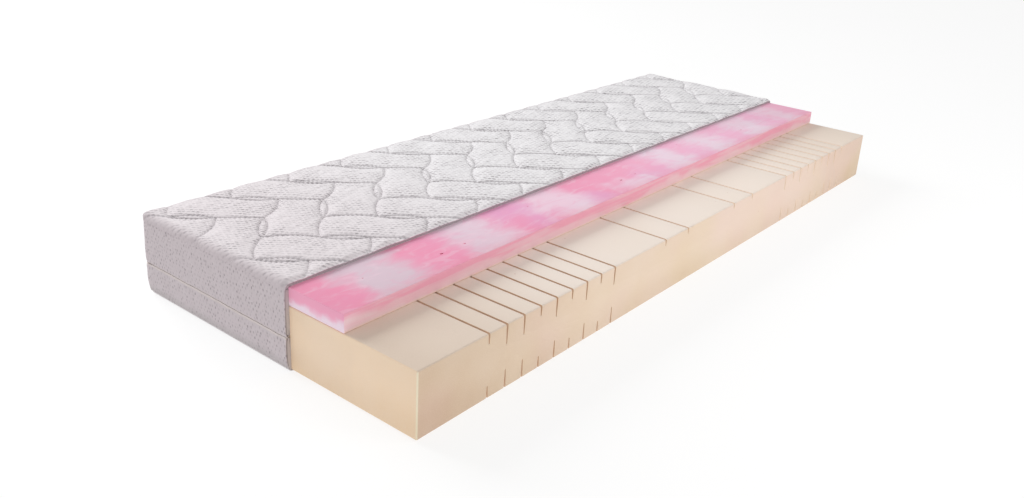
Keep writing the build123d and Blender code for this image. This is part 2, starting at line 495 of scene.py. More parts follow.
# %% Node group: fibres
fibres, given, result = new_group(
    "fibres", [("Vector", "NodeSocketVector", None), ("Size", "NodeSocketFloat", 0.001)], ["Height"])
spread = add(fibres, "VectorMath", {"operation": "SCALE"},
             i0=given["Vector"], Scale=maths(fibres, "DIVIDE", 1.0, given["Size"])).outputs[0]
fuzz = add(fibres, "TexNoise", {"noise_dimensions": "3D"},
           Vector=spread, Scale=1.0, Detail=6.0, Roughness=0.7, Distortion=0.6).outputs[0]
fibres.links.new(fuzz, result["Height"])
print("group:", fibres.name)

# %% [markdown]
# ### Plain finishes
# Small pieces only need a plain weave or a fuzzy thread. Both finishes are written once as
# functions, and each piece passes its own sizes, in metres, and its own colours.


# %% Weave and fibre finishes
def pits(tree, where, cell, pit, jitter):
    """How deep in a pit each point of the cloth is, from cell and pit sizes along U and V."""
    return use_group(tree, dimples, Vector=where, Cell_U=cell[0], Cell_V=cell[1],
                     Pit_U=pit[0], Pit_V=pit[1], Jitter=jitter)["Pit"]


def woven_material(name, roughness, cell, pit, jitter, thread, gap, sheen=0.0, relief=None):
    """A plain weave or fine knit, with small gaps in rows between its threads."""
    made, tree, shader = new_material(name, roughness)
    gaps = pits(tree, cloth_place(tree), cell, pit, jitter)
    paint(tree, shader, blend(tree, gaps, thread, gap), sheen)
    if relief:
        bump(tree, shader, minus(tree, 1.0, gaps), *relief)
    return made


def fibre_material(name, roughness, size, dark, light, sheen=0.0, relief=None):
    """Thread or fleece, with fuzz of this size."""
    made, tree, shader = new_material(name, roughness)
    fuzz = use_group(tree, fibres, Vector=object_place(tree), Size=size)["Height"]
    paint(tree, shader, blend(tree, fuzz, dark, light), sheen)
    if relief:
        bump(tree, shader, fuzz, *relief)
    return made


print("finishes: weave and fibre")

# %% [markdown]
# ## The foam core
# The real core is one block, sawn with slits across it so that it bends and gives more in
# some zones. A block is added, its long edges are rounded, and wedges are cut out with a
# boolean modifier. One wedge is modelled and copied to each slit, because they are all
# made by the same blade.

# %% Slit places
waist_slits = [0.115, 0.215]
row_slits = [0.42 + 0.05 * i for i in range(9)]
short_in_row = (1, 3, 5, 8)
slit_mouth, slit_end = 0.0050, 0.0026
past_face, past_side, mouth_flare = 0.004, 0.010, 1.05
deep_cut, short_cut, waist_cut = (0.042, 0.040), (0.022, 0.026), (0.016, 0.0)
slits = [(x, waist_cut) for x in waist_slits]
slits += [(x, short_cut if i in short_in_row else deep_cut) for i, x in enumerate(row_slits)]
slits = [(sign * x, cut) for sign in (-1, 1) for x, cut in slits]
print("slits across the core:", len(slits))


# %% Saw the core
def block(name, low, high):
    """A box between two corners, its place in its mesh."""
    clear_selection()
    bpy.ops.mesh.primitive_cube_add(size=1)
    piece = bpy.context.object
    piece.name = piece.data.name = name
    middle, size = (Vector(low) + Vector(high)) / 2, Vector(high) - Vector(low)
    piece.data.transform(Matrix.Translation(middle) @ Matrix.Diagonal((*size, 1)))
    return piece


def wedge(x, face_z, end_z):
    """The kerf of one saw cut: wide at the face, narrow at its end."""
    low, high = min(face_z, end_z), max(face_z, end_z)
    outside = past_face if end_z < face_z else -past_face
    half = slit_mouth / 2
    piece = block("kerf", (x - half, core_lo.y - past_side, low), (x + half, core_hi.y + past_side, high))
    points = points_of(piece)
    inner = np.abs(points[:, 2] - end_z) < 1e-5
    points[inner, 0] = x + (points[inner, 0] - x) * slit_end / slit_mouth
    points[~inner, 0] = x + (points[~inner, 0] - x) * mouth_flare
    points[~inner, 2] += outside
    move_points(piece, points)
    return piece


def round_edges(piece, width, segments, angle=40):
    """Bevel every edge sharper than this angle."""
    return apply_modifier(piece, "BEVEL", width=width, segments=segments, limit_method="ANGLE",
                          angle_limit=math.radians(angle), harden_normals=False)


core = round_edges(block("core_foam_block", core_lo, core_hi), 0.0035, 3)
blades = []
for x, (from_top, from_bottom) in slits:
    blades.append(wedge(x, core_hi.z, core_hi.z - from_top))
    if from_bottom > 0:
        blades.append(wedge(x, core_lo.z, core_lo.z + from_bottom))
carve(core, blades)
round_edges(core, 0.0009, 2, 60)
smooth(core, 35)
print("core faces:", len(core.data.polygons))

# %% [markdown]
# Cold foam is matt, with fine open cells and a warm, slightly uneven beige. Its colour is
# built up in layers, each laid on by a mask: the side a face looks to, the distance along
# the block, the height over the floor. Most of these layers are painted light and shade:
# the top paler, the end face warmer, the near end, far end and foot darker, a painted
# shadow of the topper, a painted highlight on the corners and painted shade in the slits.

# %% Core colour
core_material, tree, shader = new_material("core_foam", 0.92)
place = object_place(tree)
cells = use_group(tree, foam_cells, Vector=place, Cell_Size=0.0016)
where = split(tree, place)
cloud = noise(tree, place, 3.2, 2.0)
warm = blend(tree, ease(tree, cloud, 0.35, 0.65), rgb(244, 220, 192), rgb(246, 218, 202))
facing = facing_of(tree)
# Painted light: faces that look up get a paler beige.
colour = blend(tree, ease(tree, facing[2], 0.15, 0.95), warm, rgb(254, 241, 230))
# Painted shade: the core is darker towards its near end.
near_end_shade = ease(tree, where[0], core_lo.x + 0.001, core_lo.x + 0.55)
colour = blend(tree, near_end_shade, shade(tree, colour, rgb(230, 221, 211)), colour)
# Painted light: a warm yellow tint on faces that look to the near end, in place of warm bounced light.
colour = blend(tree, ease(tree, facing[0], -0.85, -0.25), rgb(252, 222, 188), colour)
print("core colour nodes so far:", len(tree.nodes))

# %% Core painted shadow, shade and highlight, and pores
# Painted shadow of the topper on the core's top, in patches near the step.
shadow_patches = noise(tree, place, 9.0, 2.0)
topper_shadow_reach = ease(tree, where[1], topper_lo.y - 0.065, topper_lo.y - 0.012, 0.0, 0.14)
painted_topper_shadow = times(tree, topper_shadow_reach, ease(tree, shadow_patches, 0.38, 0.58))
colour = blend(tree, painted_topper_shadow, colour, rgb(216, 194, 176))
# Painted highlight along the upright corner edges.
corner_highlight = maths(tree, "ABSOLUTE", times(tree, facing[0], facing[1]))
colour = blend(tree, ease(tree, corner_highlight, 0.15, 0.45, 0.0, 0.8), colour, rgb(255, 248, 218))
# Painted shade: the core is greyer towards its far end.
far_end_shade = ease(tree, where[0], 0.35, core_hi.x, 0.0, 0.75)
colour = blend(tree, far_end_shade, colour, shade(tree, colour, rgb(238, 233, 226)))
# Painted shade: the core is darker towards the floor.
low = ease(tree, where[2], 0.0, 0.09, 0.6, 0.0)
colour = blend(tree, low, colour, shade(tree, colour, rgb(232, 226, 214)))
# Painted shade on the slit walls, the faces that look along the block away from its ends; the shade is
# lighter in the far half.
slit_wall_shade = times(tree, ease(tree, maths(tree, "ABSOLUTE", facing[0]), 0.5, 0.9),
             maths(tree, "LESS_THAN", maths(tree, "ABSOLUTE", where[0]), core_hi.x - 0.02))
slit_shade_colour = blend(tree, ease(tree, where[0], -0.5, 0.3), rgb(222, 184, 150), rgb(248, 222, 196))
colour = blend(tree, slit_wall_shade, colour, slit_shade_colour)
pore = spots(tree, place, 22.0, 0.72, 0.02, 0.055, 0.55)
colour = blend(tree, pore, colour, rgb(205, 160, 140))
fine = ease(tree, cells["Shade"], 0.3, 0.9, 0.0, 0.35)
paint(tree, shader, blend(tree, fine, colour, rgb(252, 236, 220)), 0.1)
bump(tree, shader, minus(tree, cells["Height"], pore), 0.0006, 0.5)
dress(core, core_material, "mattress", "core_foam", "core_foam")

# %% [markdown]
# ## The topper
# A softer slab of marbled foam lies on the back three quarters of the core. It is cut with
# a blade too, so its edges are crisp, with a tiny rounding. The blade opens some air
# bubbles, which are cut out of the slab here with small flattened spheres.

# %% Cut the topper
topper = round_edges(block("topper_foam_slab", topper_lo, topper_hi), 0.0014, 3)
pore_places = [(0.307, 0.060, 0.0032), (0.378, 0.062, 0.0022), (0.955, 0.058, 0.0030),
               (1.022, 0.060, 0.0022), (1.617, 0.062, 0.0026), (0.120, 0.085, 0.0015),
               (0.640, 0.105, 0.0016), (1.330, 0.118, 0.0015)]
bubbles = []
for along, back, radius in pore_places:
    clear_selection()
    bpy.ops.mesh.primitive_ico_sphere_add(subdivisions=2, radius=radius)
    bubble = bpy.context.object
    centre = Vector((topper_lo.x + along, topper_lo.y + back, topper_hi.z - radius * 0.2))
    bubble.data.transform(Matrix.Translation(centre) @ Matrix.Diagonal((1.6, 0.9, 1.0, 1)))
    bubbles.append(bubble)
carve(topper, bubbles)
smooth(topper, 35)
print("air bubbles opened by the blade:", len(pore_places))

# %% [markdown]
# The marbling comes from two foams, pink and pale, that are poured by turns and only half
# mixed. So the material lists the middles of the stretches along the slab. A ramp rises to
# each pink middle and falls to each pale one; streaks and clouds of noise are added, and a
# smooth step turns the sum into a ragged, brushed boundary.

# %% Marbling
topper_material, tree, shader = new_material("topper_foam", 0.9)
place = object_place(tree)
where = split(tree, place)
topper_length = topper_hi.x - topper_lo.x
pink_and_pale = [0.035, 0.150, 0.305, 0.440, 0.570, 0.720, 0.850, 0.965, 1.105,
                 1.215, 1.315, 1.420, 1.540, 1.670, 1.790, 1.885, 1.965]
share_along = maths(tree, "DIVIDE", minus(tree, where[0], topper_lo.x), topper_length)
pour = add(tree, "ValToRGB", None, Fac=share_along)
for index, middle in enumerate(pink_and_pale):
    mark = pour.color_ramp.elements[index] if index < 2 else pour.color_ramp.elements.new(1.0)
    mark.position = middle / topper_length
    mark.color = (0, 0, 0, 1) if index % 2 else (1, 1, 1, 1)
streaks = stretched_noise(tree, place, (7, 48, 45), 4.0, Roughness=0.6)
clouds = stretched_noise(tree, place, (12, 16, 22), 2.0, Distortion=0.8)
mixing = plus(tree, maths(tree, "MULTIPLY_ADD", streaks, 0.5, -0.25),
              maths(tree, "MULTIPLY_ADD", clouds, 1.0, -0.5))
marble = plus(tree, pour.outputs[0], mixing)
swirl_spot = add(tree, "VectorMath", {"operation": "DISTANCE"}, i0=place,
                 i1=(topper_lo.x + 0.985, topper_lo.y + 0.145, topper_hi.z)).outputs["Value"]
marble = plus(tree, marble, ease(tree, swirl_spot, 0.05, 0.12, 0.8, 0.0))
pinkness = ease(tree, marble, 0.10, 0.92)
print("stretches of pink and pale:", len(pink_and_pale))

# %% Pinks and pales
hue = noise(tree, place, 4.0, 2.0)
past_end = ease(tree, where[0], topper_lo.x + 0.25, topper_lo.x + 0.55)
mauve = times(tree, ease(tree, hue, 0.42, 0.58), past_end)
pink = blend(tree, mauve, rgb(250, 160, 192), rgb(242, 172, 210))
to_far = ease(tree, where[0], -0.35, 0.4, 0.0, 0.7)
pink = blend(tree, to_far, pink, rgb(254, 202, 226))
pale = blend(tree, ease(tree, hue, 0.4, 0.6), rgb(248, 210, 228), rgb(246, 222, 237))
near_pale = ease(tree, where[0], topper_lo.x + 0.2, topper_lo.x + 0.7, 1.0, 0.0)
pale = blend(tree, near_pale, pale, rgb(230, 206, 219))
colour = blend(tree, pinkness, pale, pink)
wisps = stretched_noise(tree, place, (14, 40, 30), 3.0, Distortion=1.2)
colour = blend(tree, ease(tree, wisps, 0.5, 0.68, 0.0, 0.32), colour, rgb(250, 218, 232))
colour = blend(tree, ease(tree, wisps, 0.32, 0.48, 0.25, 0.0), colour, rgb(246, 176, 204))
print("topper colour nodes so far:", len(tree.nodes))

# %% [markdown]
# The cut sides show the pour from the side, as layers: pink on top and pale below, with
# ribbons that run along. So a second colour, made from height, is laid on the front, and
# a third, with one wave in it, on the near end. Inside the opened bubbles a deep pink is
# laid as painted shade.

# %% Sides and bubbles
facing = facing_of(tree)
front = ease(tree, facing[1], -0.8, -0.2, 1.0, 0.0)
rim = ease(tree, where[1], topper_lo.y + 0.004, topper_lo.y + 0.028, 0.35, 0.0)
colour = blend(tree, times(tree, rim, clouds), colour, rgb(252, 160, 176))
height = plus(tree, where[2], maths(tree, "MULTIPLY_ADD", clouds, 0.03, -0.015))
swell = add(tree, "TexNoise", {"noise_dimensions": "1D"}, W=where[0], Scale=3.4, Detail=2.0).outputs[0]
layer = ease(tree, minus(tree, height, maths(tree, "MULTIPLY_ADD", swell, 0.05, -0.025)),
             topper_lo.z + 0.004, topper_lo.z + 0.026)
front_colour = blend(tree, layer, rgb(255, 220, 226), rgb(255, 178, 200))
ribbons = stretched_noise(tree, place, (5, 5, 90), 3.0, Distortion=0.6)
front_colour = blend(tree, ease(tree, ribbons, 0.42, 0.62, 0.0, 0.7), front_colour, rgb(255, 210, 220))
at_glue = ease(tree, where[2], topper_lo.z + 0.001, topper_lo.z + 0.006, 0.7, 0.0)
front_colour = blend(tree, at_glue, front_colour, rgb(255, 232, 216))
colour = blend(tree, front, colour, front_colour)
end = ease(tree, facing[0], -0.8, -0.2, 1.0, 0.0)
end = times(tree, end, maths(tree, "LESS_THAN", where[0], topper_lo.x + 0.01))
swoosh = ease(tree, plus(tree, height, times(tree, streaks, 0.02)),
              topper_lo.z + 0.014, topper_lo.z + 0.034)
end_colour = blend(tree, swoosh, rgb(250, 228, 242), rgb(252, 176, 204))
colour = blend(tree, end, colour, end_colour)
# Painted shade inside the opened bubbles: a deep pink below the top surface, away from the slab's sides.
pit = ease(tree, where[2], topper_hi.z - 0.0022, topper_hi.z - 0.0006, 1.0, 0.0)
inner = pit
for part, low, start, end in ((1, topper_lo.y + 0.02, 0.0, 1.0), (0, topper_lo.x + 0.02, 0.0, 1.0),
                              (0, topper_hi.x - 0.03, 1.0, 0.0), (1, topper_hi.y - 0.03, 1.0, 0.0)):
    inner = times(tree, inner, ease(tree, where[part], low, low + 0.01, start, end))
colour = blend(tree, inner, colour, rgb(205, 70, 120))
paint(tree, shader, colour)
cells = use_group(tree, foam_cells, Vector=place, Cell_Size=0.0012)
bump(tree, shader, cells["Height"], 0.0004, 0.4)
dress(topper, topper_material, "mattress", "topper_foam", "topper_foam")

# %% [markdown]
# Foam layers are glued with a thin spray. It shows as a fine warm line with a few darker
# specks, and it stands forward a little, as squeezed-out glue does. A flat block is enough.

# %% Glue line
glue_squeeze = 0.0030
film_lo, film_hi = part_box("adhesive_film")
film = block("adhesive_line", film_lo - Vector((0, glue_squeeze, 0)), film_hi)
round_edges(film, 0.0002, 1)
film_material, tree, shader = new_material("adhesive_film", 0.6)
place = object_place(tree)
blotch = noise(tree, place, 60.0, 3.0)
colour = blend(tree, ease(tree, blotch, 0.3, 0.6), rgb(236, 196, 172), rgb(246, 222, 200))
colour = blend(tree, spots(tree, place, 16.0, 0.7, 0.05, 0.09), colour, rgb(128, 92, 88))
paint(tree, shader, colour)
dress(film, film_material, "mattress", "adhesive_film", "adhesive_film")

# %% [markdown]
# ## The quilted top
# The cover's top is a sandwich of knit, wadding and backing, sewn through along a pattern of
# bowed lines. Two lines share a slanting stretch and part again, which leaves a slim lens
# between them. The pattern is written as one repeat, in the cloth's own measure.

# %% The stitch lines
repeat_along, repeat_back = 0.160, 0.300
first_along, first_back = 0.095, 0.053
knots = {"a": (0.0, 0.0), "b": (-0.070, 0.070), "c": (0.005, 0.149), "d": (0.072, 0.231),
         "e": (0.0, 0.300)}
bow = 0.009
left_line = [("a", 0, "b", 0, bow), ("b", 0, "c", 0, 0.008), ("c", 0, "d", 0, bow),
             ("d", 0, "e", 0, 0.001)]
right_line = [("a", 1, "b", 1, -bow), ("b", 1, "c", 0, -0.010), ("c", 0, "d", 0, -bow),
              ("d", 0, "e", 1, -0.010)]


def knot(name, column, row):
    """A crossing of the pattern, in cloth measure from the near cut corner."""
    x, y = knots[name]
    return np.array([first_along + (column * repeat_along) + x, first_back + (row * repeat_back) + y])


def bowed(start, end, depth, spacing=0.0015):
    """Points along a line that bows to one side by this much."""
    run = end - start
    length = np.hypot(*run)
    aside = np.array([-run[1], run[0]]) / length
    share = np.linspace(0, 1, max(3, round(length / spacing)))[:, None]
    return start + run * share + aside * depth * 4 * share * (1 - share)


cloth_length = cover_hi.x - cover_lo.x
cloth_depth = cover_hi.y - cut_y
stitch_runs = []
for column in range(-2, math.ceil(cloth_length / repeat_along) + 2):
    for row in (-1, 0, 1):
        for line in (left_line, right_line):
            pieces = [bowed(knot(p, column + i, row), knot(q, column + j, row), depth)
                      for p, i, q, j, depth in line]
            stitch_runs.append(np.concatenate([part[:-1] for part in pieces]))
print("stitch lines:", len(stitch_runs))

# %% [markdown]
# The cloth lies flat on the foam and rolls over three of its edges. A point that is past the
# flat part goes round the edge; at a corner, a square patch of cloth is eased into a
# quarter circle. The same function serves the top and, turned over, the underside.


# %% Lay cloth over the block
def roll_over(u, v, radius, top, sign=1.0):
    """Where cloth distances lie on the rounded block, and which way is out."""
    left, right_end = cover_lo.x + radius, cover_hi.x - radius
    back = cover_hi.y - radius
    x, y = u + cover_lo.x, v + cut_y
    past_x = np.where(x < left, x - left, np.where(x > right_end, x - right_end, 0.0))
    past_y = np.maximum(y - back, 0.0)
    width, depth = np.abs(past_x), past_y
    distance = np.maximum(width, depth)
    both = (width > 0) & (depth > 0)
    small, large = np.minimum(width, depth), np.maximum(np.maximum(width, depth), 1e-9)
    share = np.where(both, small / large * math.pi / 4, 0.0)
    turn = np.where(depth > width, math.pi / 2 - share, share)
    way_x = np.sign(past_x) * np.cos(turn)
    way_y = np.sin(turn)
    way_x = np.where(distance > 0, way_x, 0.0)
    way_y = np.where(distance > 0, way_y, 0.0)
    angle = np.minimum(distance / radius, math.pi / 2)
    drop = np.maximum(distance - radius * math.pi / 2, 0.0)
    out = radius * np.sin(angle)
    px = np.clip(x, left, right_end) + way_x * out
    py = np.minimum(y, back) + way_y * out
    pz = top - sign * (radius * (1 - np.cos(angle)) + drop)
    points = np.stack([px, py, pz], 1)
    normals = np.stack([way_x * np.sin(angle), way_y * np.sin(angle), sign * np.cos(angle)], 1)
    return points, normals


roll_radius = 0.011
wrap = roll_radius * (math.pi / 2 - 1) + 0.001
seam_points = np.concatenate(stitch_runs)
seam_along = np.concatenate([running_length(run) for run in stitch_runs])
seam_forward = np.concatenate([np.gradient(run[:, 0]) > 0 for run in stitch_runs])
near_cloth = ((seam_points[:, 0] > -0.08) & (seam_points[:, 0] < cloth_length + 0.08)
              & (seam_points[:, 1] > -0.06) & (seam_points[:, 1] < cloth_depth + 0.08))
seam_points, seam_along = seam_points[near_cloth], seam_along[near_cloth]
seam_forward = seam_forward[near_cloth]
seam_tree = KDTree(len(seam_points))
for index, (a, b) in enumerate(seam_points):
    seam_tree.insert((a, b, 0), index)
seam_tree.balance()
print("points on the stitch lines:", len(seam_points))

# %% [markdown]
# Between the stitches the wadding pushes the knit up; at the stitches the thread pulls it
# down in a crease. The crease is steep at the thread and eases off, and the needle gathers
# the knit into small puckers along it. The panels are never quite even, so a smooth random
# field is added. The grid's points that are next to a line are moved onto it, because a
# crease only looks sharp where edges of the mesh run along it.

# %% The quilted surface
stitch_top = cover_hi.z - 0.0055
knit_grid = 0.0028
crease_depth, crease_width = 0.0040, 0.0032
pillow_height, pillow_width = 0.0031, 0.022
pucker_height, pucker_reach, pucker_pitch = 0.0015, 0.006, 0.0100
rest_height, edge_droop = 0.0050, 0.0040


def from_stitches(u, v):
    """For each cloth point: the index of the nearest stitch point, and its distance."""
    found = [seam_tree.find((a, b, 0)) for a, b in zip(u, v)]
    return np.array([f[1] for f in found]), np.array([f[2] for f in found])


def puff(u, v, nearest, distance):
    """How far the quilting stands above its stitches."""
    crease = crease_depth * (1 - np.exp(-distance / crease_width))
    pillow = pillow_height * (1 - np.exp(-(distance / pillow_width) ** 2))
    beat = np.sin(2 * math.pi * seam_along[nearest] / pucker_pitch)
    pucker = pucker_height * beat * np.exp(-distance / pucker_reach) * (0.75 + 0.35 * waviness(u, v, 0.05, 3))
    sway = 0.00045 * waviness(u, v, 0.012, 5) + 0.0008 * waviness(u, v, 0.040, 6)
    return crease + pillow + pucker + sway * (1 - np.exp(-distance / 0.010))


corner_reach = 0.0155


def trim_corners(points, reach):
    """Bring points that stand out of the two rounded back corners in to this radius."""
    points = points.copy()
    centre_x, centre_y = core_hi.x - 0.006, core_hi.y - 0.006
    off_x = np.abs(points[:, 0]) - centre_x
    off_y = points[:, 1] - centre_y
    far = np.hypot(off_x, off_y)
    pull = np.where((off_x > 0) & (off_y > 0) & (far > reach), reach / far, 1.0)
    points[:, 0] = np.where(pull < 1, np.sign(points[:, 0]) * (centre_x + off_x * pull), points[:, 0])
    points[:, 1] = np.where(pull < 1, centre_y + off_y * pull, points[:, 1])
    return points


def quilt(u, v, below=0.0):
    """Points of the quilted surface, or of one this far below it."""
    nearest, distance = from_stitches(u, v)
    points, normals = roll_over(u, v, roll_radius, stitch_top)
    height = puff(u, v, nearest, distance)
    inland = 0.30 + 0.70 * ramp_up(v, 0.0, 0.010)
    from_rim = np.minimum(np.minimum(u, cloth_length - u), cloth_depth - v)
    inland *= 0.55 + 0.45 * ramp_up(from_rim, 0.0, 0.05)
    droop = edge_droop * (1 - ramp_up(v, 0.0, 0.012))
    height = rest_height - droop + (height - rest_height) * inland
    flat = np.clip(normals[:, 2], 0, 1)
    height = (height - below) * flat + (0.0010 - below + 0.10 * height) * (1 - flat)
    return trim_corners(points + normals * height[:, None], corner_reach - below)


def creased(u, v):
    """The quilted surface, with the points beside a stitch line moved onto it."""
    nearest, distance = from_stitches(u, v)
    snap = (distance < 0.42 * knit_grid) & (v > 0.5 * knit_grid)
    u = np.where(snap, seam_points[nearest, 0], u)
    v = np.where(snap, seam_points[nearest, 1], v)
    return quilt(u, v)


# %% [markdown]
# The top panel is one grid of cloth, fine enough for its creases, laid with these functions
# and thickened to the knit's own thickness. Two attributes are stored with it for the material:
# how much painted shade a point gets from the crease of the nearest stitch line, and how
# near it is to the rolled rim.

# %% Sew the top panel
groove_width, knit_thick = 0.0036, 0.0016
top_knit = cloth_grid("quilted_top_knit", steps(-wrap, cloth_length + wrap, knit_grid),
                      steps(0.0, cloth_depth + wrap, knit_grid), creased)
cloth_uv = np.empty(len(top_knit.data.loops) * 2)
top_knit.data.uv_layers[0].data.foreach_get("uv", cloth_uv)
corners = np.empty(len(top_knit.data.loops), dtype=int)
top_knit.data.loops.foreach_get("vertex_index", corners)
cloth_at = np.zeros((len(top_knit.data.vertices), 2))
cloth_at[corners] = cloth_uv.reshape(-1, 2)
nearest, distance = from_stitches(*cloth_at.T)
# Painted crease shade: strongest at a stitch line, pulsing with the needle, and weaker along one set of
# lines.
needle = 0.5 - 0.5 * np.sin(2 * math.pi * seam_along[nearest] / pucker_pitch)
crease_shade = top_knit.data.attributes.new("crease_shade", "FLOAT", "POINT")
shadow = np.where(seam_forward[nearest], 0.08 + 0.42 * needle ** 2, 0.70 + 0.30 * needle ** 2)
crease_shade.data.foreach_set("value", np.exp(-(distance / groove_width) ** 2) * shadow)
u, v = cloth_at.T
from_rim = np.minimum(np.minimum(u, cloth_length - u), cloth_depth - v)
edge_share = ramp_up(-from_rim, -0.022, roll_radius * 0.4)
edge = top_knit.data.attributes.new("edge", "FLOAT", "POINT")
edge.data.foreach_set("value", edge_share)
apply_modifier(top_knit, "SOLIDIFY", thickness=knit_thick, offset=-1)
smooth(top_knit, 60)
print("deepest to highest, mm:", round((points_of(top_knit)[:, 2].max() - stitch_top) / MM, 1))

# %% [markdown]
# The knit is white with slanting rows of long pits. Close rows at a far end would turn to
# noise, so the rows grow slowly along the bed. Pits, fine loops, the painted shade of the
# creases and a painted shade on the rolled rim, towards the border's grey, are laid over the
# ground in turn, and the pits and loops also make the relief.

# %% Knit rows
rows_grow, rows_turn = 0.25, math.radians(51)
top_knit_material, tree, shader = new_material("top_knit", 0.85)
cloth = cloth_place(tree)
measure = split(tree, cloth)
stretch = maths(tree, "MULTIPLY_ADD", measure[0], rows_grow, 1.0)
pulled = add(tree, "CombineXYZ",
             i0=maths(tree, "DIVIDE", maths(tree, "LOGARITHM", stretch, math.e), rows_grow),
             i1=maths(tree, "DIVIDE", measure[1], stretch)).outputs[0]
turned = add(tree, "Mapping", None, i0=pulled, i2=(0, 0, rows_turn)).outputs[0]
rib_pits = pits(tree, turned, (0.0100, 0.0092), (0.0056, 0.0027), 0.15)
worn = noise(tree, cloth, 14.0, 2.0)
depth = times(tree, rib_pits, ease(tree, worn, 0.38, 0.6, 0.45, 1.0))
print("knit rows turned by, degrees:", round(math.degrees(rows_turn)))

# %% Knit colour and relief
pit_colour = blend(tree, ease(tree, measure[0], 0.5, 1.6), rgb(196, 189, 193), rgb(160, 156, 161))
ground = blend(tree, ease(tree, measure[0], 0.1, 0.8), rgb(244, 236, 239), rgb(249, 247, 249))
loops = pits(tree, turned, (0.0016, 0.0012), (0.0006, 0.0005), 0.2)
ground = blend(tree, times(tree, loops, 0.10), ground, rgb(190, 184, 188))
colour = blend(tree, depth, ground, pit_colour)
# Painted shade in the creases, from the stored attribute.
painted_crease_shade = add(tree, "Attribute", {"attribute_name": "crease_shade"}).outputs["Fac"]
colour = blend(tree, times(tree, painted_crease_shade, 0.9), colour, rgb(160, 153, 158))
# Painted shade on the rolled rim: the white knit turns towards the border's grey where it rolls over.
at_edge = add(tree, "Attribute", {"attribute_name": "edge"}).outputs["Fac"]
colour = blend(tree, at_edge, colour, blend(tree, depth, rgb(204, 193, 197), rgb(188, 177, 182)))
paint(tree, shader, colour, 0.15)
flatter = maths(tree, "MULTIPLY_ADD", at_edge, -0.7, 1.0)
relief = maths(tree, "MULTIPLY_ADD", loops, -0.10, minus(tree, 1.0, depth))
bump(tree, shader, times(tree, relief, flatter), 0.0020, 0.9)
dress(top_knit, top_knit_material, "upper_cover", "top_knit", "top_knit")

# %% [markdown]
# Real quilting thread lies in the creases as short stitches. One stitch is a small long
# grain, made from a sphere of few faces, and it is repeated along every stitch line. Each
# copy is turned to run along its seam and to stand off the cloth there.

# %% Stitches
stitch_pitch, stitch_long, thread_radius = 0.0058, 0.0044, 0.00042


def stand(here, run, up):
    """A 4 x 4 place for each point: local X runs along, local Z stands up."""
    places = np.zeros((len(here), 4, 4))
    places[:, :3, 0] = run
    places[:, :3, 1] = np.cross(up, run)
    places[:, :3, 2] = up
    places[:, :3, 3] = here
    places[:, 3, 3] = 1
    return places


def thread_places():
    """One place for each stitch: local X runs along the seam, local Z stands off the cloth."""
    margin, step_on = 0.004, 0.0005
    spots_here, spots_on = [], []
    for run in stitch_runs:
        marks = running_length(run)
        at = np.arange(stitch_pitch / 2, marks[-1], stitch_pitch)
        for spots_at, distances in ((spots_here, at), (spots_on, at + step_on)):
            spots_at.append(np.stack([np.interp(distances, marks, run[:, axis]) for axis in (0, 1)], 1))
    here, on = np.concatenate(spots_here), np.concatenate(spots_on)
    keep = ((here[:, 0] > -wrap + margin) & (here[:, 0] < cloth_length + wrap - margin)
            & (here[:, 1] > margin) & (here[:, 1] < cloth_depth + wrap - margin))
    base, normals = roll_over(*here[keep].T, roll_radius, stitch_top)
    ahead, _ = roll_over(*on[keep].T, roll_radius, stitch_top)
    run = ahead - base
    run /= np.linalg.norm(run, axis=1)[:, None]
    flat = np.clip(normals[:, 2:3], 0, 1) ** 2
    return stand(base + normals * (0.0004 * flat + 0.0016 * (1 - flat)), run, normals)


# %% Repeat a small shape
def repeat(name, pattern, places):
    """One mesh that holds a copy of the pattern's mesh at each 4 x 4 place."""
    shape = points_of(pattern)
    faces = [tuple(face.vertices) for face in pattern.data.polygons]
    copies = np.einsum("nij,pj->npi", places[:, :3, :3], shape) + places[:, None, :3, 3]
    count = len(shape)
    mesh = bpy.data.meshes.new(name)
    mesh.from_pydata(copies.reshape(-1, 3), [],
                     [tuple(i + k * count for i in face) for k in range(len(places)) for face in faces])
    piece = bpy.data.objects.new(name, mesh)
    bpy.context.scene.collection.objects.link(piece)
    bpy.data.objects.remove(pattern)
    for polygon in mesh.polygons:
        polygon.use_smooth = True
    return piece


# %% Sew the threads
clear_selection()
bpy.ops.mesh.primitive_ico_sphere_add(subdivisions=1, radius=1)
grain = bpy.context.object
grain.data.transform(Matrix.Diagonal((stitch_long / 2, thread_radius, thread_radius, 1)))
threads = repeat("quilting_thread", grain, thread_places())
thread_material = fibre_material("quilting_thread", 0.6, 0.001, rgb(222, 218, 220), rgb(244, 242, 242), 0.3)
dress(threads, thread_material, "upper_cover", "top_knit")

# %% [markdown]
# Under the knit lie a soft wadding and a thin fleece that holds the threads. Only their cut
# edges show, at the front. Each is a pad between two surfaces of the same cloth: two grids
# are made and their borders bridged. The wadding follows the quilting just below the knit.


# %% Wadding and backing under the top
def slab(name, upper, lower, spacing):
    """A closed pad between two surfaces of the same cloth."""
    along = steps(-wrap * 0.7, cloth_length + wrap * 0.7, spacing)
    across = steps(0.0, cloth_depth + wrap * 0.7, spacing)
    sheets = [cloth_grid(name, along, across, place) for place in (upper, lower)]
    return close_border(join(sheets), bpy.ops.mesh.bridge_edge_loops)


def under(depth_flat, depth_side):
    """A surface below the quilting's base: one depth on top, another round the edge."""
    def place(u, v):
        points, normals = roll_over(u, v, roll_radius, stitch_top)
        flat = normals[:, 2:3]
        return points - normals * (depth_flat * flat + depth_side * (1 - flat))
    return place


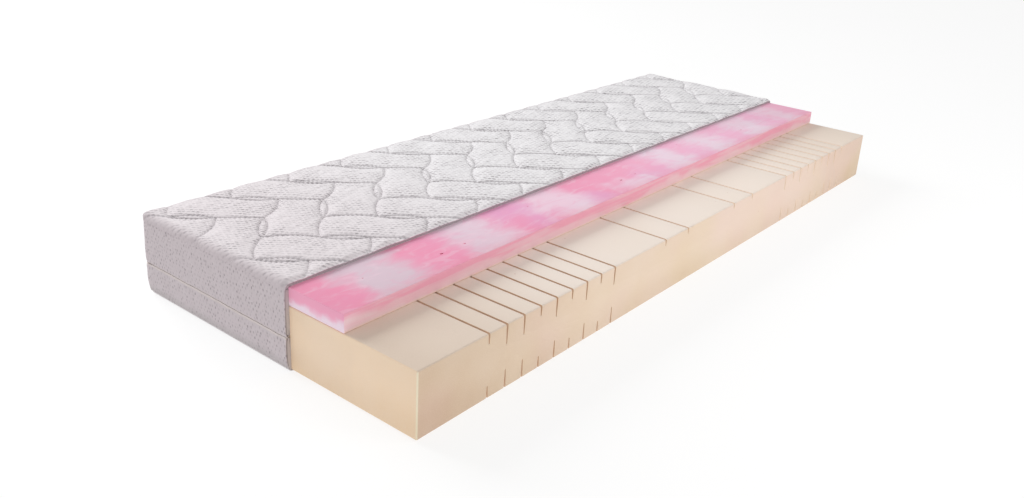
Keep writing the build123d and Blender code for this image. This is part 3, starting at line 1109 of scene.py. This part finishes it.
wadding_depth = stitch_top - backing_hi.z
top_wadding = slab("top_wadding_fill", lambda u, v: quilt(u, v, 0.0017),
                   under(wadding_depth, 0.0055), 0.006)
smooth(top_wadding, 50)
top_backing = slab("top_backing_fleece", under(wadding_depth + 0.0001, 0.0056),
                   under(wadding_depth + backing_hi.z - backing_lo.z, 0.0062), 0.02)
smooth(top_backing, 50)
print("wadding under the stitches, mm:", round(wadding_depth / MM, 1))

# %% Wadding and fleece materials
wadding_material, tree, shader = new_material("wadding", 0.95)
place = object_place(tree)
fuzz = use_group(tree, fibres, Vector=place, Size=0.003)
colour = blend(tree, ease(tree, fuzz["Height"], 0.3, 0.7), rgb(164, 151, 156), rgb(190, 180, 184))
# The wadding is paler below the top panel; the top panel's darker grey is partly its own grey and partly
# painted shade along its cut band.
level = split(tree, place)[2]
colour = blend(tree, ease(tree, level, 0.165, 0.176, 0.8, 0.0), colour, rgb(206, 198, 196))
paint(tree, shader, colour)
bump(tree, shader, fuzz["Height"], 0.001, 0.7)
backing_material = fibre_material("backing", 0.9, 0.002, rgb(196, 192, 192), rgb(226, 224, 224),
                                  relief=(0.0004, 0.5))
dress(top_wadding, wadding_material, "upper_cover", "wadding", "top_wadding")
dress(top_backing, backing_material, "upper_cover", "backing", "top_backing")

# %% [markdown]
# ## The border
# A strip of spacer knit runs round the sides, in two halves that fold in towards the zip.
# The strip is made by carrying a profile round the cover: straight along the end, round the
# corner, along the back, round the other corner and along the far end.

# %% A path round the cover
turn_radius = 0.006
straight_end = core_hi.y - turn_radius - cut_y
straight_back = core_hi.x - core_lo.x - 2 * turn_radius
quarter = turn_radius * math.pi / 2
path_length = 2 * straight_end + straight_back + 2 * quarter
spans = [straight_end, quarter, straight_back, quarter, straight_end]


def round_the_cover(distance, out, z):
    """The point at this distance along the cover's side, this far out from the foam."""
    marks = np.cumsum(spans[:-1])
    part = np.searchsorted(marks, distance, side="left")
    along = distance - np.concatenate([[0.0], marks])[part]
    angle = along / turn_radius
    in_x0, in_x1 = core_lo.x + turn_radius, core_hi.x - turn_radius
    in_y, arm = core_hi.y - turn_radius, turn_radius + out
    px = np.choose(part, [np.full_like(along, core_lo.x) - out, in_x0 - arm * np.cos(angle), in_x0 + along,
                          in_x1 + arm * np.sin(angle), core_hi.x + out + 0 * along])
    py = np.choose(part, [cut_y + along, in_y + arm * np.sin(angle), core_hi.y + out + 0 * along,
                          in_y + arm * np.cos(angle), in_y - along])
    return np.stack([px, py, z], 1)


def path_steps(spacing, corner_steps=8):
    """Distances round the cover, closer together at the corners."""
    marks = np.concatenate([[0.0], np.cumsum(spans)])
    parts = [np.linspace(start, end, corner_steps) if index % 2 else steps(start, end, spacing)
             for index, (start, end) in enumerate(zip(marks, marks[1:]))]
    return np.concatenate([parts[0]] + [part[1:] for part in parts[1:]])


def profile_from(points, spacing):
    """Even steps along a polyline of (out, z), with its running length."""
    points = np.array(points)
    runs = running_length(points)
    place = steps(0.0, runs[-1], spacing)
    return place, lambda v: (np.interp(v, runs, points[:, 0]), np.interp(v, runs, points[:, 1]))


def rounded_profile(points, times=3):
    """Cut the corners of a polyline again and again, so that it becomes a curve."""
    points = np.array(points)
    for _ in range(times):
        start, end = points[:-1], points[1:]
        near, far = start * 0.75 + end * 0.25, start * 0.25 + end * 0.75
        cuts = np.stack([near, far], 1).reshape(-1, 2)[1:-1]
        points = np.concatenate([points[:1], cuts, points[-1:]])
    return points


print("path round the cover, m:", round(path_length, 3))

# %% [markdown]
# The profile is drawn as a few points, outwards and up, and its corners are cut again and
# again until it is round. Both halves fold in at the zip as lips. The cloth slackens a
# little between, and one drag crease runs down from the near corner, as on a worn cover.

# %% Shape the border
knit_wall, lip_close, lip_out = 0.0014, 0.0024, 0.0006
slack_wide, slack_fine, drag_crease = 0.0005, 0.0003, 0.0016
seam_low = 0.014
seam_high = stitch_top - roll_radius
upper_points = [(0.0042, zip_z + 0.0065), (0.0052, zip_z + 0.0024), (0.0080, zip_z + 0.0022),
                (0.0088, zip_z + 0.010), (0.0092, zip_z + 0.040), (0.0092, zip_z + 0.080),
                (0.0084, seam_high - 0.004), (0.0066, seam_high + 0.004)]
lower_points = [(0.0058, seam_low - 0.004), (0.0076, seam_low + 0.004), (0.0090, seam_low + 0.018),
                (0.0092, zip_z - 0.026), (0.0088, zip_z - 0.008), (0.0080, zip_z - 0.0022),
                (0.0052, zip_z - 0.0024), (0.0042, zip_z - 0.0065)]


def border_strip(name, points):
    """A strip of border knit with this profile, made round the cover."""
    across, profile = profile_from(rounded_profile(points), 0.0035)

    def place(u, v):
        out, z = profile(v)
        at_end = 1 - 0.55 * ramp_up(np.minimum(u, path_length - u), straight_end - 0.03, straight_end)
        lip = np.exp(-np.maximum(np.abs(z - zip_z) - 0.0022, 0) / 0.005) * at_end
        z = z + np.sign(zip_z - z) * lip_close * lip
        out = out + np.sign(zip_z - z) * lip_out * lip
        slack = slack_wide * waviness(u, z, 0.05, 11) + slack_fine * waviness(u, z, 0.015, 12)
        crease = np.exp(-((z - 0.030 - 0.35 * (u - 0.05)) / 0.006) ** 2 - ((u - 0.05) / 0.022) ** 2)
        return round_the_cover(u, out + (slack - drag_crease * crease) * ramp_up(out, 0.005, 0.008), z)

    piece = cloth_grid(name, path_steps(0.006), across, place)
    apply_modifier(piece, "SOLIDIFY", thickness=knit_wall, offset=-1)
    return smooth(piece, 60)


border_upper = border_strip("border_knit_upper", upper_points)
border_lower = border_strip("border_knit_lower", lower_points)

# %% [markdown]
# Spacer knit has small upright holes, and is greyer than the top: partly its own grey and
# partly painted shade of the sides. Near the floor a painted shade makes the lower edge a
# little darker, and at the ends the lips by the zip get a painted highlight, which also
# paints over the dark gap between them.

# %% Border material
border_material, tree, shader = new_material("border_knit", 0.88)
cloth = cloth_place(tree)
slots = pits(tree, cloth, (0.0105, 0.0085), (0.0021, 0.0036), 0.5)
uneven = noise(tree, cloth, 60.0, 2.0)
slot_depth = times(tree, slots, ease(tree, uneven, 0.35, 0.6, 0.3, 1.0))
# The border's grey is partly the knit's own and partly painted shade of the sides.
colour = blend(tree, slot_depth, rgb(208, 197, 201), rgb(166, 155, 160))
spot = split(tree, object_place(tree))
# Painted shade: the border is darker towards the floor.
colour = blend(tree, ease(tree, spot[2], 0.004, 0.034, 0.7, 0.0), colour, rgb(176, 170, 170))
# Painted highlight on the lips by the zip, at the two ends, which also paints over the dark gap between the
# lips.
from_zip = maths(tree, "ABSOLUTE", minus(tree, spot[2], zip_z - 0.0012))
end_share = ease(tree, maths(tree, "ABSOLUTE", spot[0]), core_hi.x - 0.01, core_hi.x)
painted_lip_highlight = times(tree, ease(tree, from_zip, 0.0016, 0.0042, 1.0, 0.0), end_share)
colour = blend(tree, painted_lip_highlight, colour, rgb(220, 209, 207))
loops = pits(tree, cloth, (0.0016, 0.0011), (0.0006, 0.0005), 0.2)
colour = blend(tree, times(tree, loops, 0.10), colour, rgb(150, 140, 145))
paint(tree, shader, colour, 0.15)
relief = maths(tree, "MULTIPLY_ADD", loops, -0.10, minus(tree, 1.0, slot_depth))
bump(tree, shader, relief, 0.0020, 0.8)
dress(border_upper, border_material, "upper_cover", "border_knit", "border_upper_knit")
dress(border_lower, border_material, "mattress", "border_knit", "border_lower_knit")

# %% [markdown]
# A thinner wadding fills each half of the border. Its outline is carried round the cover
# along the same path as the knit, and the two cut ends are then closed with a face.


# %% Border wadding
def swept_pad(name, points, spacing=0.03):
    """A closed pad with this outline of (out, z), carried round the cover."""
    outline = np.array(points + points[:1])
    along = path_steps(spacing, 6)
    marks = np.arange(len(outline), dtype=float)

    def place(u, v):
        out, z = (np.interp(v, marks, outline[:, axis]) for axis in (0, 1))
        return round_the_cover(u, out, z)

    piece = cloth_grid(name, along, marks, place)
    return close_border(piece, bpy.ops.mesh.edge_face_add)


wadding_upper = swept_pad("border_wadding_upper", [
    (0.0001, zip_z + 0.003), (0.0052, zip_z + 0.003), (0.0074, zip_z + 0.008),
    (0.0079, zip_z + 0.040), (0.0079, zip_z + 0.080), (0.0072, seam_high - 0.004),
    (0.0060, seam_high + 0.002), (0.0001, seam_high + 0.002)])
wadding_lower = swept_pad("border_wadding_lower", [
    (0.0001, 0.0032), (0.0010, 0.0032), (0.0050, seam_low - 0.006), (0.0079, seam_low + 0.016),
    (0.0079, zip_z - 0.026), (0.0074, zip_z - 0.008), (0.0052, zip_z - 0.003), (0.0001, zip_z - 0.003)])
for piece, body, node in ((wadding_upper, "upper_cover", "border_upper_wadding"),
                          (wadding_lower, "mattress", "border_lower_wadding")):
    smooth(piece, 50)
    dress(piece, wadding_material, body, "wadding", node)

# %% [markdown]
# ## The underside
# The bottom panel is plain knit over thin wadding. It rolls up round the lower edges and
# meets the border there.

# %% Lay the bottom panel
low_radius = 0.014
low_wrap = low_radius * (math.pi / 2 - 1) + 0.001
bottom_knit = cloth_grid(
    "bottom_panel_knit", steps(-low_wrap, cloth_length + low_wrap, 0.012),
    steps(0.0, cloth_depth + low_wrap, 0.012),
    lambda u, v: roll_over(u, v, low_radius, 0.0, -1.0)[0])
apply_modifier(bottom_knit, "SOLIDIFY", thickness=-knit_wall, offset=-1)
face_out(bottom_knit)
smooth(bottom_knit, 60)
bottom_material = woven_material("bottom_knit", 0.9, (0.004, 0.004), (0.0013, 0.0013), 0.2,
                                 rgb(212, 206, 208), rgb(184, 176, 180), relief=(0.0006, 0.6))
dress(bottom_knit, bottom_material, "mattress", "bottom_knit", "bottom_knit")

pad_lo, pad_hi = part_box("bottom_wadding")
pad_in = 0.012
bottom_wadding = block("bottom_wadding_fill", pad_lo + Vector((pad_in, 0, -0.0002)),
                       pad_hi - Vector((pad_in, pad_in, 0.0001)))
round_edges(bottom_wadding, 0.0004, 2)
dress(bottom_wadding, wadding_material, "mattress", "wadding", "bottom_wadding")

# %% [markdown]
# ## The zip
# Behind the fold of the border runs a coil zip: two woven tapes, each with a spiral of thick
# thread sewn to it. One turn of the spiral is modelled as a small ring and repeated along
# the path, and the turns of the two halves stand between each other.


# %% Places round the cover
def frames_round(distances, out, z):
    """A place for each distance round the cover: local X runs on, local Y points out."""
    here, ahead = (round_the_cover(distances + on, np.full_like(distances, out), np.full_like(distances, z))
                   for on in (0, 1e-4))
    run = ahead - here
    run /= np.linalg.norm(run, axis=1)[:, None]
    up = np.tile([0.0, 0.0, 1.0], (len(run), 1))
    return stand(here, run, up), here


# %% Coils and tapes
coil_pitch, coil_out = 0.0016, coil_back + coil_thick / 2
ring_radius, ring_thread = 0.00105, 0.0003
coil_inner, coil_outer = 0.0006, 0.0032
park_start, park_end = 0.820, 0.880
zip_halves = []
for name, sign, shift, body in (("upper", 1, 0.0, "upper_cover"), ("lower", -1, 0.5, "mattress")):
    clear_selection()
    bpy.ops.mesh.primitive_torus_add(major_segments=10, minor_segments=4, major_radius=ring_radius,
                                     minor_radius=ring_thread, rotation=(0, math.radians(90), 0))
    ring = bpy.context.object
    ring.data.transform(ring.matrix_basis)
    ring.matrix_basis = Matrix.Identity(4)
    ring_reach = 2 * (ring_radius + ring_thread)
    flatten = (1.0, coil_thick / ring_reach, (coil_outer - coil_inner) / ring_reach, 1)
    ring.data.transform(Matrix.Diagonal(flatten))
    distances = np.arange(0.002, path_length - 0.002, coil_pitch) + shift * coil_pitch
    places, here = frames_round(distances, coil_out, zip_z + sign * (coil_inner + coil_outer) / 2)
    parked = (here[:, 1] > core_hi.y) & (here[:, 0] > park_start) & (here[:, 0] < park_end)
    coil = repeat(f"zip_coil_{name}_spiral", ring, places[~parked])
    print("turns of the", name, "coil:", len(places) - parked.sum())
    tape = cloth_grid(f"zip_tape_{name}_woven", path_steps(0.02), np.linspace(0.0007, 0.0138, 6),
                      lambda u, v, s=sign: round_the_cover(u, np.full_like(u, coil_back), zip_z + s * v))
    apply_modifier(tape, "SOLIDIFY", thickness=0.0006, offset=-1)
    face_out(tape)
    zip_halves.append((name, coil, tape, body))

# %% Zip materials
coil_material = fibre_material("zip_coil", 0.45, 0.002, rgb(226, 214, 204), rgb(206, 194, 186))
tape_material = woven_material("zip_tape", 0.85, (0.0009, 0.0012), (0.0003, 0.0004), 0.1,
                               rgb(222, 208, 194), rgb(192, 178, 164), relief=(0.0002, 0.8))
for half, coil, tape, body in zip_halves:
    dress(coil, coil_material, body, "zip_coil", f"zip_coil_{half}")
    dress(tape, tape_material, body, "zip_tape", f"zip_tape_{half}")

# %% [markdown]
# Slider, pull and stops are cast metal and small, and the design already has their full
# shape. They keep it and only get a finish: bare metal with fine marks from tumbling.

# %% Metal parts
metal_material, tree, shader = new_material("zip_metal", 0.3)
brushed = stretched_noise(tree, object_place(tree), (400, 4000, 4000), 3.0)
paint(tree, shader, blend(tree, brushed, rgb(206, 206, 208), rgb(168, 168, 172)))
tree.links.new(ease(tree, brushed, 0.2, 0.8, 0.22, 0.42), shader.inputs["Roughness"])
shader.inputs["Metallic"].default_value = 1.0
for name in ("zip_slider", "zip_pull", "zip_stop_upper", "zip_stop_lower"):
    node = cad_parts[name]
    node.data.materials.clear()
    node.data.materials.append(metal_material)
print("metal parts keep their design shape")

# %% [markdown]
# ## Care label
# A blank satin label is sewn into the fold under the zip, at the back. It hangs as a loop
# of ribbon and curls a little.

# %% Hang the label
label_lo, label_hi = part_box("care_label")
label_width, label_drop = label_hi.x - label_lo.x, label_hi.z - label_lo.z
label_out, curl_out = 0.0022, 0.0012


def label_place(u, v):
    """A folded ribbon: down the front, round the end and up behind."""
    front = v <= label_drop
    z = np.where(front, label_hi.z - v, label_lo.z + (v - label_drop))
    fall = (label_hi.z - z) / label_drop
    curl = curl_out * fall ** 2 * (1 + 0.4 * np.sin(u * 60))
    y = label_hi.y + label_out + curl + np.where(front, 0.0004, -0.0003)
    return np.stack([label_hi.x - u, y, z], 1)


label = cloth_grid("care_label_ribbon", steps(0.0, label_width, 0.003),
                   steps(0.0, 2 * label_drop, 0.0025), label_place)
apply_modifier(label, "SOLIDIFY", thickness=0.0002, offset=0)
face_out(label)
smooth(label, 60)
label_material = woven_material("care_label", 0.5, (0.0008, 0.0005), (0.0003, 0.0002), 0.1,
                                rgb(226, 225, 221), rgb(206, 205, 202), 0.3)
dress(label, label_material, "mattress", "care_label", "care_label")

# %% [markdown]
# ## Floor
# A plain pale floor shows where the mattress stands. It isn't part of the object.

# %% Lay the floor
clear_selection()
bpy.ops.mesh.primitive_plane_add(size=40)
floor = bpy.context.object
floor.name = "floor"
floor_material, tree, shader = new_material("floor", 0.9)
shader.inputs["Base Color"].default_value = (0.22, 0.22, 0.22, 1)
shader.inputs["Emission Color"].default_value = (1, 1, 1, 1)
shader.inputs["Emission Strength"].default_value = 0.79
floor.data.materials.append(floor_material)
